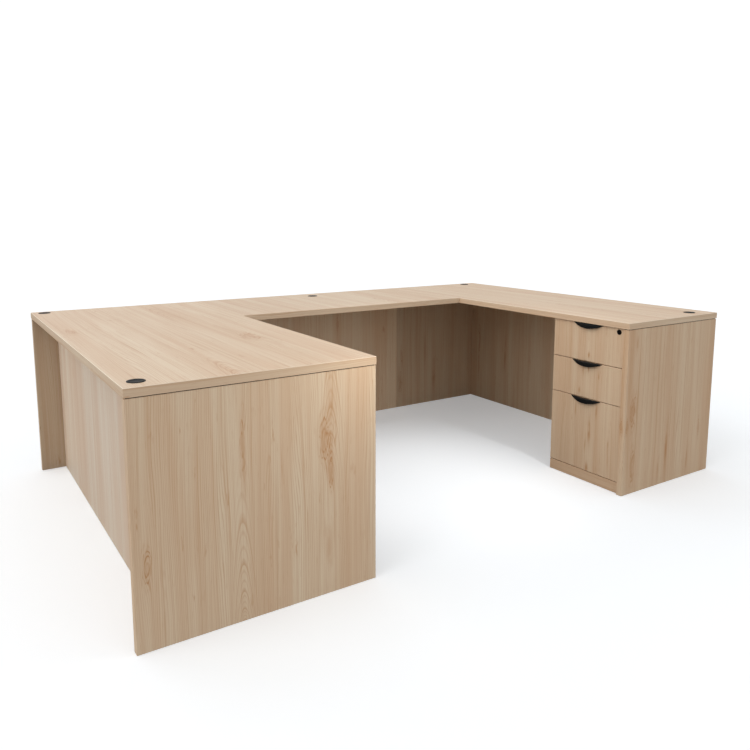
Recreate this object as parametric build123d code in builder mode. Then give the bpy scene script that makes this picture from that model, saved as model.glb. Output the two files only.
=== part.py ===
from build123d import *
import os

# U-shaped laminate teacher's desk: a main desk on the left, a bridge across the far end and a
# credenza with a box/box/file pedestal on the right. Millimetres, +Z up, +X from the desk to the
# credenza, +Y from the open side to the bridge. Origin on the floor, under the middle of the plan.

# Worktops
SUITE_WIDTH = 1676.4            # desk and credenza tops, near end to far end
DESK_DEPTH = 762.0              # visitor's edge to user's edge
BRIDGE_LENGTH = 1219.2          # desk top to credenza top
BRIDGE_DEPTH = 609.6
CREDENZA_DEPTH = 609.6
WORK_HEIGHT = 731.0             # floor to the laminate surface
TOP_THICKNESS = 25.4
EDGING = 2.0                    # plastic edge strip round each worktop
EDGING_RADIUS = 1.0

# Panels that carry the worktops
END_PANEL = 25.4
PANEL_INSET = 1.5               # worktop edge to panel face
PANEL_RADIUS = 1.0              # eased upright corners
OVERCUT = 1.0                   # how far a cutting shape runs past the face it opens
REVEAL_HEIGHT = 3.0             # shadow gap under the worktops
REVEAL_DEPTH = 4.0
MODESTY_RECESS = 102.4          # visitor's edge to the modesty panel
MODESTY_THICKNESS = 19.0
BRIDGE_BACK_THICKNESS = 25.4
CREDENZA_BACK_THICKNESS = 12.7
BACK_HOUSING = 6.0              # how far the credenza back is let into its end panels

# Pedestal
PEDESTAL_WIDTH = 381.0
PEDESTAL_SETBACK = 12.7         # worktop edge to the drawer faces
PEDESTAL_REAR_GAP = 5.0
CARCASS = 16.0
CARCASS_BACK = 9.0
RAIL_WIDTH = 50.0
RAIL_SETBACK = 30.0             # carcass edge to the front rail, leaves room for the lock
PLINTH_HEIGHT = 46.0
FRONT_THICKNESS = 19.0
FRONT_STANDOFF = 2.0            # drawer front to carcass
FRONT_GAP = 3.0                 # between drawer fronts
FRONT_SIDE_GAP = 1.5
FRONT_RADIUS = 0.8
FILE_FRONT = 323.0
MIDDLE_FRONT = 160.3

# Drawer boxes
BOX_WALL = 12.0
BOX_LENGTH = 500.0
BOX_RAISE = 12.0                # bottom of the front to bottom of the box
BOX_HEIGHT = 105.0
FILE_BOX_HEIGHT = 245.0
BOX_BOTTOM = 5.0
BOX_GROOVE = 5.0
BOTTOM_RAISE = 10.0
HANGER_WALL = 1.5
HANGER_DROP = 14.0
HANGER_STAND = 8.0

# Telescopic slides, in three nested members
SLIDE_THICKNESS = 12.7
SLIDE_HEIGHT = 45.7
SLIDE_LENGTH = 490.0
SLIDE_SETBACK = 2.0
SLIDE_RISE = 45.0               # bottom of the box to the middle of the slide
SLIDE_STEEL = 1.2
SLIDE_PLAY = 0.8                # between nested members

# Pulls: a moulded lip that hangs from the top edge of each front
PULL_WIDTH = 162.0
PULL_DROP = 20.0
PULL_BOW = 17.0
PULL_WALL = 2.5
PULL_FLANGE = 10.0

# Lock in the upper drawer front
LOCK_FROM_SIDE = 31.0
LOCK_DROP = 15.6
LOCK_FLANGE_RADIUS = 11.0
LOCK_FLANGE = 2.0
LOCK_BODY_RADIUS = 8.0
LOCK_BODY_TAIL = 10.0           # behind the drawer front
LOCK_HOLE_CLEARANCE = 0.2
PLUG_RADIUS = 6.0
PLUG_FIT = 0.08
PLUG_STUB_RADIUS = 3.0
CAM_GAP = 0.3
CAM_THICKNESS = 2.0
CAM_REACH = 15.0
CAM_RADIUS = 6.0
CAM_WIDTH = 9.0
KEYWAY_WIDTH = 1.6
KEYWAY_HEIGHT = 7.0
KEYWAY_DEPTH = 8.0
KEEPER_THICKNESS = 6.0
KEEPER_HEIGHT = 8.0
KEEPER_LENGTH = 44.0
KEEPER_GAP = 1.0

# Cable outlets
OUTLET_RADIUS = 22.0            # hole in the worktop
LINER_WALL = 2.0
LINER_FLANGE_WIDTH = 3.0        # how far the flange laps onto the worktop
LINER_FLANGE = 1.6
LINER_TAIL = 3.0                # liner stops this far above the underside
CAP_CLEARANCE = 0.3
CAP_THICKNESS = 2.4
CAP_SKIRT = 4.0
CAP_SKIRT_WALL = 1.4
CAP_LEDGE = 1.5                 # width of the seat the cap rests on
OUTLET_FROM_NEAR_END = 67.0
OUTLET_FROM_FAR_END = 53.0
DESK_OUTLET_INSET = 50.0
BRIDGE_OUTLET_INSET = 107.0
CREDENZA_OUTLET_INSET = 107.0

# Fixings
BRACKET_LEG = 30.0
BRACKET_WIDTH = 30.0
BRACKET_STEEL = 2.5
BRACKET_SCREW = 18.0            # corner of the bracket to its screws
VISITOR_BRACKET = 220.0         # visitor's edge to the first bracket of an end panel
USER_BRACKET = 120.0            # user's edge to the second
BRIDGE_BRACKET = 200.0          # ends of the bridge to its brackets
CREDENZA_BRACKET = 180.0        # user's edge of the credenza to its bracket
PLATE_LENGTH = 120.0
PLATE_WIDTH = 50.0
PLATE_STEEL = 3.0
PLATE_HOLE_INSET = 15.0
PLATE_FROM_USER = 100.0         # the bridge's two long edges to the plates
PLATE_FROM_FAR = 150.0
SCREW_RADIUS = 2.0
SCREW_HEAD_RADIUS = 4.0
SCREW_HEAD = 2.2
SCREW_CLEARANCE = 0.2
SCREW_IN_TOP = 15.0
SCREW_IN_PANEL = 9.0
DOWEL_RADIUS = 4.0
DOWEL_DEPTH = 14.0
DOWEL_DEPTH_THIN = 9.0          # in the face of a carcass board
DOWEL_MARGIN = 80.0             # floor or underside to the outer dowels of a panel
CARCASS_DOWEL_INSET = 60.0      # front and rear of the carcass to the bottom's dowels
CAM_FITTING_RADIUS = 7.5
CAM_FITTING_DEPTH = 14.5
CAM_FITTING_INSET = 24.0        # panel end to the middle of the fitting
BOLT_RADIUS = 3.0
BOLT_CLEARANCE = 1.0
BOLT_IN_PANEL = 11.0
BOLT_MARGIN = 160.0             # floor or underside to the cam bolts

# Lines in plan, from the sizes above
LEFT = -(DESK_DEPTH + BRIDGE_LENGTH + CREDENZA_DEPTH) / 2
DESK_EDGE = LEFT + DESK_DEPTH
CREDENZA_EDGE = DESK_EDGE + BRIDGE_LENGTH
RIGHT = CREDENZA_EDGE + CREDENZA_DEPTH
NEAR = -SUITE_WIDTH / 2
FAR = SUITE_WIDTH / 2
BRIDGE_EDGE = FAR - BRIDGE_DEPTH
UNDERSIDE = WORK_HEIGHT - TOP_THICKNESS

NEAR_PANEL = (NEAR + PANEL_INSET, NEAR + PANEL_INSET + END_PANEL)
FAR_PANEL = (FAR - PANEL_INSET - END_PANEL, FAR - PANEL_INSET)
MODESTY_X = (LEFT + MODESTY_RECESS, LEFT + MODESTY_RECESS + MODESTY_THICKNESS)
BRIDGE_BACK_Y = (FAR - PANEL_INSET - BRIDGE_BACK_THICKNESS, FAR - PANEL_INSET)
CREDENZA_BACK_X = (RIGHT - PANEL_INSET - CREDENZA_BACK_THICKNESS, RIGHT - PANEL_INSET)

PEDESTAL_Y = (NEAR_PANEL[1], NEAR_PANEL[1] + PEDESTAL_WIDTH)
INNER_Y = (PEDESTAL_Y[0] + CARCASS, PEDESTAL_Y[1] - CARCASS)
FACE_X = CREDENZA_EDGE + PEDESTAL_SETBACK
FRONT_BACK_X = FACE_X + FRONT_THICKNESS
CARCASS_X = (FRONT_BACK_X + FRONT_STANDOFF, CREDENZA_BACK_X[0] - PEDESTAL_REAR_GAP)
PEDESTAL_MIDDLE = (PEDESTAL_Y[0] + PEDESTAL_Y[1]) / 2

# Drawer fronts from the floor up; the upper one takes what is left below the shadow gap
FILE_Z = (PLINTH_HEIGHT + FRONT_GAP, PLINTH_HEIGHT + FRONT_GAP + FILE_FRONT)
MIDDLE_Z = (FILE_Z[1] + FRONT_GAP, FILE_Z[1] + FRONT_GAP + MIDDLE_FRONT)
UPPER_Z = (MIDDLE_Z[1] + FRONT_GAP, UNDERSIDE - REVEAL_HEIGHT)
DRAWERS = {
    "upper": (UPPER_Z, BOX_HEIGHT),
    "middle": (MIDDLE_Z, BOX_HEIGHT),
    "file": (FILE_Z, FILE_BOX_HEIGHT),
}
BOX_Y = (INNER_Y[0] + SLIDE_THICKNESS, INNER_Y[1] - SLIDE_THICKNESS)
BOX_X = (FRONT_BACK_X, FRONT_BACK_X + BOX_LENGTH)

LOCK_Y = PEDESTAL_Y[0] + LOCK_FROM_SIDE
LOCK_Z = UPPER_Z[1] - LOCK_DROP
LOCK_TAIL_X = FRONT_BACK_X + LOCK_BODY_TAIL

OUTLETS = {
    "desk_near": (LEFT + DESK_OUTLET_INSET, NEAR + OUTLET_FROM_NEAR_END),
    "desk_far": (LEFT + DESK_OUTLET_INSET, FAR - OUTLET_FROM_FAR_END),
    "bridge": ((DESK_EDGE + CREDENZA_EDGE) / 2, FAR - BRIDGE_OUTLET_INSET),
    "credenza_far": (RIGHT - CREDENZA_OUTLET_INSET, FAR - OUTLET_FROM_FAR_END),
    "credenza_near": (RIGHT - CREDENZA_OUTLET_INSET, NEAR + OUTLET_FROM_NEAR_END),
}

# Angle brackets: the panel each one is on, which way it reaches, and its place on the panel's face
NORTH, SOUTH, EAST, WEST = (0, 1, 0), (0, -1, 0), (1, 0, 0), (-1, 0, 0)
UP, DOWN = (0, 0, 1), (0, 0, -1)
DESK_BRACKETS = (LEFT + VISITOR_BRACKET, DESK_EDGE - USER_BRACKET)
BRIDGE_BRACKETS = (DESK_EDGE + BRIDGE_BRACKET, CREDENZA_EDGE - BRIDGE_BRACKET)
BRACKETS = {
    "desk_near_end_panel": (NORTH, [(x, NEAR_PANEL[1]) for x in DESK_BRACKETS]),
    "desk_far_end_panel": (SOUTH, [(x, FAR_PANEL[0]) for x in DESK_BRACKETS]),
    "desk_modesty_panel": (EAST, [(MODESTY_X[1], y) for y in (NEAR / 2, 0, FAR / 2)]),
    "bridge_back_panel": (SOUTH, [(x, BRIDGE_BACK_Y[0]) for x in BRIDGE_BRACKETS]),
    "credenza_far_end_panel": (SOUTH, [(CREDENZA_EDGE + CREDENZA_BRACKET, FAR_PANEL[0])]),
    "credenza_back_panel": (WEST, [(CREDENZA_BACK_X[0], y) for y in (0, FAR / 2)]),
}
# Flat plates that tie the bridge top to the tops beside it
PLATE_ROWS = (BRIDGE_EDGE + PLATE_FROM_USER, FAR - PLATE_FROM_FAR)
PLATES = [(x, y) for x in (DESK_EDGE, CREDENZA_EDGE) for y in PLATE_ROWS]

RAILS_X = (
    (CARCASS_X[0] + RAIL_SETBACK, CARCASS_X[0] + RAIL_SETBACK + RAIL_WIDTH),
    (CARCASS_X[1] - CARCASS_BACK - RAIL_WIDTH, CARCASS_X[1] - CARCASS_BACK),
)
BOTTOM_Z = (PLINTH_HEIGHT - CARCASS, PLINTH_HEIGHT)
DESK_PANEL_X = (LEFT + PANEL_INSET, DESK_EDGE - PANEL_INSET)
CREDENZA_PANEL_X = (CREDENZA_EDGE + PANEL_INSET, RIGHT - PANEL_INSET)
BRIDGE_BACK_X = (DESK_PANEL_X[1], CREDENZA_PANEL_X[0])
BETWEEN_PANELS = (NEAR_PANEL[1], FAR_PANEL[0])
HOUSED_Y = (NEAR_PANEL[1] - BACK_HOUSING, FAR_PANEL[0] + BACK_HOUSING)
LOW, HALFWAY, HIGH = DOWEL_MARGIN, UNDERSIDE / 2, UNDERSIDE - DOWEL_MARGIN

os.makedirs("parts", exist_ok=True)


def middle(span):
    return (span[0] + span[1]) / 2


def length(span):
    return span[1] - span[0]


def save(piece, name):
    piece.part.label = name
    export_step(piece.part, f"parts/{name}.step")


def save_group(solids, name):
    """Several separate solids of one kind in one node."""
    group = Compound(children=solids)
    group.label = name
    export_step(group, f"parts/{name}.step")


def block(x, y, z, mode=Mode.ADD):
    """A rectangular block between two corners, in the part that is being built."""
    with BuildSketch(Plane.XY.offset(z[0])) as plan:
        with Locations((middle(x), middle(y))):
            Rectangle(length(x), length(y))
    extrude(plan.sketch, amount=length(z), mode=mode)


def board(name, x, y, z):
    with BuildPart() as piece:
        block(x, y, z)
    save(piece, name)


def drill(planes, radius, depth):
    """Blind holes that start on each plane and go against its normal."""
    if planes:
        with Locations(*planes):
            Hole(radius, depth)


def rods(planes, radius, behind, ahead=0.0):
    """Round rods through each plane, so long behind it and so long ahead of it."""
    with Locations(*[plane.offset(ahead) for plane in planes]):
        Cylinder(radius, behind + ahead, align=(Align.CENTER, Align.CENTER, Align.MAX))


def facing(way, points):
    """A working plane at each point, its normal that way."""
    return [Plane(origin=point, z_dir=way) for point in points]


def turned(planes):
    return [Plane(origin=plane.origin, z_dir=plane.z_dir * -1) for plane in planes]


# Where screws enter the boards
up_screws = []
panel_screws = {}
for panel_name, (way, places) in BRACKETS.items():
    holes = [(x, y, UNDERSIDE - BRACKET_SCREW) for x, y in places]
    panel_screws[panel_name] = facing(way, holes)
    up_screws += [(x + way[0] * BRACKET_SCREW, y + way[1] * BRACKET_SCREW) for x, y in places]
PLATE_REACH = (PLATE_LENGTH / 2 - PLATE_HOLE_INSET, PLATE_WIDTH / 2 - PLATE_HOLE_INSET)
plate_screws = [
    (x + i * PLATE_REACH[0], y + j * PLATE_REACH[1]) for x, y in PLATES for i in (-1, 1) for j in (-1, 1)
]

# Dowels and cam bolts: a plane on each joint, its normal pointing into the board the peg ends in
modesty_x, bridge_y = middle(MODESTY_X), middle(BRIDGE_BACK_Y)
dowels = {
    "modesty_near": facing(SOUTH, [(modesty_x, NEAR_PANEL[1], z) for z in (LOW, HALFWAY)]),
    "modesty_far": facing(NORTH, [(modesty_x, FAR_PANEL[0], z) for z in (LOW, HALFWAY)]),
    "bridge_left": facing(WEST, [(BRIDGE_BACK_X[0], bridge_y, z) for z in (LOW, HALFWAY, HIGH)]),
    "bridge_right": facing(EAST, [(BRIDGE_BACK_X[1], bridge_y, z) for z in (LOW, HALFWAY, HIGH)]),
}
BOLT_HEIGHTS = (BOLT_MARGIN, UNDERSIDE - BOLT_MARGIN)
bolts = {
    "near": facing(SOUTH, [(modesty_x, NEAR_PANEL[1], z) for z in BOLT_HEIGHTS]),
    "far": facing(NORTH, [(modesty_x, FAR_PANEL[0], z) for z in BOLT_HEIGHTS]),
}
cam_fittings = facing(
    EAST,
    [
        (MODESTY_X[1], y, z)
        for y in (NEAR_PANEL[1] + CAM_FITTING_INSET, FAR_PANEL[0] - CAM_FITTING_INSET)
        for z in BOLT_HEIGHTS
    ],
)
PEG_ROWS = (CARCASS_X[0] + CARCASS_DOWEL_INSET, CARCASS_X[1] - CARCASS_DOWEL_INSET)
BOTTOM_PEGS = [(x, middle(BOTTOM_Z)) for x in PEG_ROWS]
RAIL_PEGS = [(middle(span), UNDERSIDE - CARCASS / 2) for span in RAILS_X]
carcass_dowels = {
    "near": facing(SOUTH, [(x, INNER_Y[0], z) for x, z in BOTTOM_PEGS + RAIL_PEGS]),
    "far": facing(NORTH, [(x, INNER_Y[1], z) for x, z in BOTTOM_PEGS + RAIL_PEGS]),
}


# Worktops: a laminated board with its four edge strips, and holes for the cable outlets
def worktop(name, x, y):
    core_x = (x[0] + EDGING, x[1] - EDGING)
    core_y = (y[0] + EDGING, y[1] - EDGING)

    def over(points, z):
        return [(*p, z) for p in points if x[0] < p[0] < x[1] and y[0] < p[1] < y[1]]

    with BuildPart() as core:
        block(core_x, core_y, (UNDERSIDE, WORK_HEIGHT))
        drill(facing(UP, over(OUTLETS.values(), WORK_HEIGHT)), OUTLET_RADIUS, TOP_THICKNESS)
        drill(facing(DOWN, over(up_screws + plate_screws, UNDERSIDE)), SCREW_RADIUS, SCREW_IN_TOP)
    save(core, name)

    def on_outline(edge):
        place = edge.center()
        at_x = min(abs(place.X - x[0]), abs(place.X - x[1])) < EDGING / 4
        at_y = min(abs(place.Y - y[0]), abs(place.Y - y[1])) < EDGING / 4
        return at_x or at_y

    strips = []
    for strip_x, strip_y in (
        (x, (y[0], core_y[0])),
        (x, (core_y[1], y[1])),
        ((x[0], core_x[0]), core_y),
        ((core_x[1], x[1]), core_y),
    ):
        with BuildPart() as strip:
            block(strip_x, strip_y, (UNDERSIDE, WORK_HEIGHT))
            rim = strip.faces().sort_by(Axis.Z)[-1].edges()
            fillet(rim.filter_by(on_outline), EDGING_RADIUS)
        strips.append(strip.part.solid())
    save_group(strips, f"{name}_edging")


worktop("desk_top", (LEFT, DESK_EDGE), (NEAR, FAR))
worktop("bridge_top", (DESK_EDGE, CREDENZA_EDGE), (BRIDGE_EDGE, FAR))
worktop("credenza_top", (CREDENZA_EDGE, RIGHT), (NEAR, FAR))


# End panels and backs: full-height boards, some upper edges cut back to leave a shadow gap
def panel(name, x, y, gaps, holes=(), housing=None):
    """gaps says which of the left, right, near and far faces are cut back at the top. holes are
    blind ones: their planes, radius and depth. housing is a corner that takes another board."""
    left, right, near, far = (REVEAL_DEPTH * gap for gap in gaps)
    shoulder = UNDERSIDE - REVEAL_HEIGHT
    with BuildPart() as slab:
        block(x, y, (0, shoulder))
        fillet(slab.edges().filter_by(Axis.Z), PANEL_RADIUS)
        block((x[0] + left, x[1] - right), (y[0] + near, y[1] - far), (shoulder, UNDERSIDE))
        if housing:
            block(*housing, (0, UNDERSIDE), mode=Mode.SUBTRACT)
        for planes, radius, depth in holes:
            drill(planes, radius, depth)
        drill(panel_screws.get(name, []), SCREW_RADIUS, SCREW_IN_PANEL)
    save(slab, name)


HOUSING_X = (CREDENZA_BACK_X[0], RIGHT)
panel(
    "desk_near_end_panel",
    DESK_PANEL_X,
    NEAR_PANEL,
    (1, 1, 1, 0),
    [
        (turned(dowels["modesty_near"]), DOWEL_RADIUS, DOWEL_DEPTH),
        (turned(bolts["near"]), BOLT_RADIUS, BOLT_IN_PANEL),
    ],
)
panel(
    "desk_far_end_panel",
    DESK_PANEL_X,
    FAR_PANEL,
    (1, 0, 0, 1),
    [
        (turned(dowels["modesty_far"]), DOWEL_RADIUS, DOWEL_DEPTH),
        (turned(dowels["bridge_left"]), DOWEL_RADIUS, DOWEL_DEPTH),
        (turned(bolts["far"]), BOLT_RADIUS, BOLT_IN_PANEL),
    ],
)
panel(
    "desk_modesty_panel",
    MODESTY_X,
    BETWEEN_PANELS,
    (1, 0, 0, 0),
    [
        (dowels["modesty_near"] + dowels["modesty_far"], DOWEL_RADIUS, DOWEL_DEPTH),
        (bolts["near"] + bolts["far"], BOLT_RADIUS + BOLT_CLEARANCE, CAM_FITTING_INSET),
        (cam_fittings, CAM_FITTING_RADIUS, CAM_FITTING_DEPTH),
    ],
)
panel(
    "bridge_back_panel",
    BRIDGE_BACK_X,
    BRIDGE_BACK_Y,
    (0, 0, 0, 1),
    [(dowels["bridge_left"] + dowels["bridge_right"], DOWEL_RADIUS, DOWEL_DEPTH)],
)
panel(
    "credenza_near_end_panel",
    CREDENZA_PANEL_X,
    NEAR_PANEL,
    (1, 1, 1, 0),
    housing=(HOUSING_X, (HOUSED_Y[0], NEAR_PANEL[1] + OVERCUT)),
)
panel(
    "credenza_far_end_panel",
    CREDENZA_PANEL_X,
    FAR_PANEL,
    (0, 1, 0, 1),
    [(turned(dowels["bridge_right"]), DOWEL_RADIUS, DOWEL_DEPTH)],
    housing=(HOUSING_X, (FAR_PANEL[0] - OVERCUT, HOUSED_Y[1])),
)
panel("credenza_back_panel", CREDENZA_BACK_X, HOUSED_Y, (0, 1, 0, 0))


# Pedestal carcass: two sides, a bottom, a back, two top rails and a plinth flush with the fronts
def carcass_side(name, y, joints):
    with BuildPart() as side:
        block(CARCASS_X, y, (0, UNDERSIDE))
        drill(turned(joints), DOWEL_RADIUS, DOWEL_DEPTH_THIN)
    save(side, name)


carcass_side("pedestal_near_side", (PEDESTAL_Y[0], INNER_Y[0]), carcass_dowels["near"])
carcass_side("pedestal_far_side", (INNER_Y[1], PEDESTAL_Y[1]), carcass_dowels["far"])
end_pegs = carcass_dowels["near"] + carcass_dowels["far"]
with BuildPart() as bottom:
    block(CARCASS_X, INNER_Y, BOTTOM_Z)
    drill([p for p in end_pegs if p.origin.Z < HALFWAY], DOWEL_RADIUS, DOWEL_DEPTH)
save(bottom, "pedestal_bottom")
with BuildPart() as rails:
    for span in RAILS_X:
        block(span, INNER_Y, (UNDERSIDE - CARCASS, UNDERSIDE))
    drill([p for p in end_pegs if p.origin.Z > HALFWAY], DOWEL_RADIUS, DOWEL_DEPTH)
save(rails, "pedestal_top_rails")
board(
    "pedestal_back",
    (CARCASS_X[1] - CARCASS_BACK, CARCASS_X[1]),
    INNER_Y,
    (PLINTH_HEIGHT, UNDERSIDE),
)
FRONT_Y = (PEDESTAL_Y[0] + FRONT_SIDE_GAP, PEDESTAL_Y[1])
with BuildPart() as plinth:
    block((FACE_X, CARCASS_X[0]), FRONT_Y, (0, PLINTH_HEIGHT))
    fillet(plinth.faces().sort_by(Axis.X)[0].edges(), FRONT_RADIUS)
save(plinth, "pedestal_plinth")


# Drawers
def drawer_front(name, z, with_lock):
    with BuildPart() as front:
        block((FACE_X, FRONT_BACK_X), FRONT_Y, z)
        fillet(front.faces().sort_by(Axis.X)[0].edges(), FRONT_RADIUS)
        if with_lock:
            lock_hole = facing(WEST, [(FACE_X, LOCK_Y, LOCK_Z)])
            drill(lock_hole, LOCK_BODY_RADIUS + LOCK_HOLE_CLEARANCE, FRONT_THICKNESS)
    save(front, f"{name}_drawer_front")


def drawer_box(name, low, height):
    """Two sides, an inner front and a back, grooved for a thin bottom."""
    z = (low, low + height)
    side_y = ((BOX_Y[0], BOX_Y[0] + BOX_WALL), (BOX_Y[1] - BOX_WALL, BOX_Y[1]))
    end_x = ((BOX_X[0], BOX_X[0] + BOX_WALL), (BOX_X[1] - BOX_WALL, BOX_X[1]))
    bottom_x = (end_x[0][1] - BOX_GROOVE, end_x[1][0] + BOX_GROOVE)
    bottom_y = (side_y[0][1] - BOX_GROOVE, side_y[1][0] + BOX_GROOVE)
    bottom_z = (low + BOTTOM_RAISE, low + BOTTOM_RAISE + BOX_BOTTOM)
    with BuildPart() as sides:
        for y in side_y:
            block(BOX_X, y, z)
        block(bottom_x, bottom_y, bottom_z, mode=Mode.SUBTRACT)
    save(sides, f"{name}_drawer_sides")
    with BuildPart() as ends:
        for x in end_x:
            block(x, (side_y[0][1], side_y[1][0]), z)
        block(bottom_x, bottom_y, bottom_z, mode=Mode.SUBTRACT)
    save(ends, f"{name}_drawer_inner_ends")
    board(f"{name}_drawer_bottom", bottom_x, bottom_y, bottom_z)


def drawer_pull(name, top):
    """A moulded lip: bowed in plan, a crescent from the front, closed above and open below."""
    half = PULL_WIDTH / 2
    plan = Plane(origin=(FACE_X, PEDESTAL_MIDDLE, top), x_dir=SOUTH, z_dir=DOWN)
    upright = Plane(origin=(FACE_X, PEDESTAL_MIDDLE, top), x_dir=SOUTH, z_dir=WEST)
    inner_half = half - 2 * PULL_WALL
    inner_bow = PULL_BOW - PULL_WALL
    with BuildPart() as pull:
        with BuildSketch(plan):
            with BuildLine():
                ThreePointArc((-half, 0), (0, PULL_BOW), (half, 0))
                Line((half, 0), (-half, 0))
            make_face()
        extrude(amount=PULL_DROP)
        with BuildSketch(plan.offset(PULL_WALL)):
            with BuildLine():
                ThreePointArc((-inner_half, 0), (0, inner_bow), (inner_half, 0))
                Line((inner_half, 0), (-inner_half, 0))
            make_face()
        extrude(amount=PULL_DROP, mode=Mode.SUBTRACT)
        block(
            (FACE_X - PULL_WALL, FACE_X),
            (PEDESTAL_MIDDLE - inner_half, PEDESTAL_MIDDLE + inner_half),
            (top - PULL_FLANGE, top),
        )
        with BuildSketch(upright):
            with BuildLine():
                ThreePointArc((-half, 0), (0, -PULL_DROP), (half, 0))
                Line((half, 0), (-half, 0))
            make_face()
        extrude(amount=PULL_BOW + OVERCUT, mode=Mode.INTERSECT)
    save(pull, f"{name}_drawer_pull")


for drawer, (span, box_height) in DRAWERS.items():
    drawer_front(drawer, span, with_lock=drawer == "upper")
    drawer_box(drawer, span[0] + BOX_RAISE, box_height)
    drawer_pull(drawer, span[1])

# Steel rails that clip over the file box's sides and carry hanging folders
file_top = FILE_Z[0] + BOX_RAISE + FILE_BOX_HEIGHT
HANGER_X = (BOX_X[0] + BOX_WALL, BOX_X[1] - BOX_WALL)
with BuildPart() as hangers:
    for wall, inward in ((BOX_Y[0], 1), (BOX_Y[1], -1)):
        inner = wall + inward * BOX_WALL
        lip = inner + inward * HANGER_WALL
        block(HANGER_X, sorted((wall, lip)), (file_top, file_top + HANGER_WALL))
        block(HANGER_X, sorted((inner, lip)), (file_top - HANGER_DROP, file_top + HANGER_STAND))
save(hangers, "file_hanger_rails")


# Telescopic slides, one pair to a drawer; the sections are drawn looking along the slide
def channel(x, y_web, inward, z_middle, height, reach):
    """A C section: its web against y_web and its flanges reaching inward."""
    web_y = sorted((y_web, y_web + inward * SLIDE_STEEL))
    flange_y = sorted((y_web, y_web + inward * reach))
    z = (z_middle - height / 2, z_middle + height / 2)
    block(x, web_y, z)
    block(x, flange_y, (z[0], z[0] + SLIDE_STEEL))
    block(x, flange_y, (z[1] - SLIDE_STEEL, z[1]))


SLIDE_X = (CARCASS_X[0] + SLIDE_SETBACK, CARCASS_X[0] + SLIDE_SETBACK + SLIDE_LENGTH)
NEST = SLIDE_STEEL + SLIDE_PLAY
slide_sides = ((INNER_Y[0], 1), (INNER_Y[1], -1))
slide_heights = {name: span[0] + BOX_RAISE + SLIDE_RISE for name, (span, _) in DRAWERS.items()}
with BuildPart() as cabinet_members:
    for z_middle in slide_heights.values():
        for y, inward in slide_sides:
            channel(SLIDE_X, y, inward, z_middle, SLIDE_HEIGHT, SLIDE_THICKNESS - NEST)
save(cabinet_members, "cabinet_slide_members")
for drawer, z_middle in slide_heights.items():
    with BuildPart() as middle_members:
        for y, inward in slide_sides:
            web = y + inward * NEST
            reach = SLIDE_THICKNESS - 2 * NEST
            channel(SLIDE_X, web, inward, z_middle, SLIDE_HEIGHT - 2 * NEST, reach)
    save(middle_members, f"{drawer}_slide_middle_members")
    with BuildPart() as drawer_members:
        for y, inward in slide_sides:
            web = y + inward * SLIDE_THICKNESS
            reach = SLIDE_THICKNESS - 2 * NEST - SLIDE_PLAY
            channel(SLIDE_X, web, -inward, z_middle, SLIDE_HEIGHT - 4 * NEST, reach)
    save(drawer_members, f"{drawer}_slide_drawer_members")

# Lock: a flanged barrel in the upper front, a keyed plug, a cam on its tail and a fixed keeper
lock_face = facing(WEST, [(FACE_X, LOCK_Y, LOCK_Z)])
with BuildPart() as barrel:
    rods(lock_face, LOCK_FLANGE_RADIUS, 0, LOCK_FLANGE)
    rods(lock_face, LOCK_BODY_RADIUS, FRONT_THICKNESS + LOCK_BODY_TAIL, LOCK_FLANGE)
    fillet(barrel.faces().sort_by(Axis.X)[0].edges(), LOCK_FLANGE / 2)
    bore = LOCK_FLANGE + FRONT_THICKNESS + LOCK_BODY_TAIL
    drill([plane.offset(LOCK_FLANGE) for plane in lock_face], PLUG_RADIUS + PLUG_FIT, bore)
save(barrel, "lock_barrel")
CAM_X = (LOCK_TAIL_X + CAM_GAP, LOCK_TAIL_X + CAM_GAP + CAM_THICKNESS)
with BuildPart() as plug:
    rods(lock_face, PLUG_RADIUS, CAM_X[0] - FACE_X, LOCK_FLANGE)
    rods(lock_face, PLUG_STUB_RADIUS, CAM_X[1] - FACE_X)
    block(
        (FACE_X - LOCK_FLANGE, FACE_X - LOCK_FLANGE + KEYWAY_DEPTH),
        (LOCK_Y - KEYWAY_WIDTH / 2, LOCK_Y + KEYWAY_WIDTH / 2),
        (LOCK_Z - KEYWAY_HEIGHT / 2, LOCK_Z + KEYWAY_HEIGHT / 2),
        mode=Mode.SUBTRACT,
    )
save(plug, "lock_plug")
with BuildPart() as cam:
    with BuildSketch(Plane(origin=(CAM_X[0], LOCK_Y, LOCK_Z), x_dir=NORTH, z_dir=EAST)):
        Circle(CAM_RADIUS)
        with Locations((CAM_REACH / 2, 0)):
            Rectangle(CAM_REACH, CAM_WIDTH)
        Circle(PLUG_STUB_RADIUS, mode=Mode.SUBTRACT)
    extrude(amount=CAM_THICKNESS)
save(cam, "lock_cam")
with BuildPart() as keeper:
    block(
        (CARCASS_X[0] + KEEPER_GAP, CARCASS_X[0] + KEEPER_GAP + KEEPER_THICKNESS),
        (INNER_Y[0], INNER_Y[0] + KEEPER_LENGTH),
        (UNDERSIDE - KEEPER_HEIGHT, UNDERSIDE),
    )
save(keeper, "lock_keeper")

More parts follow.
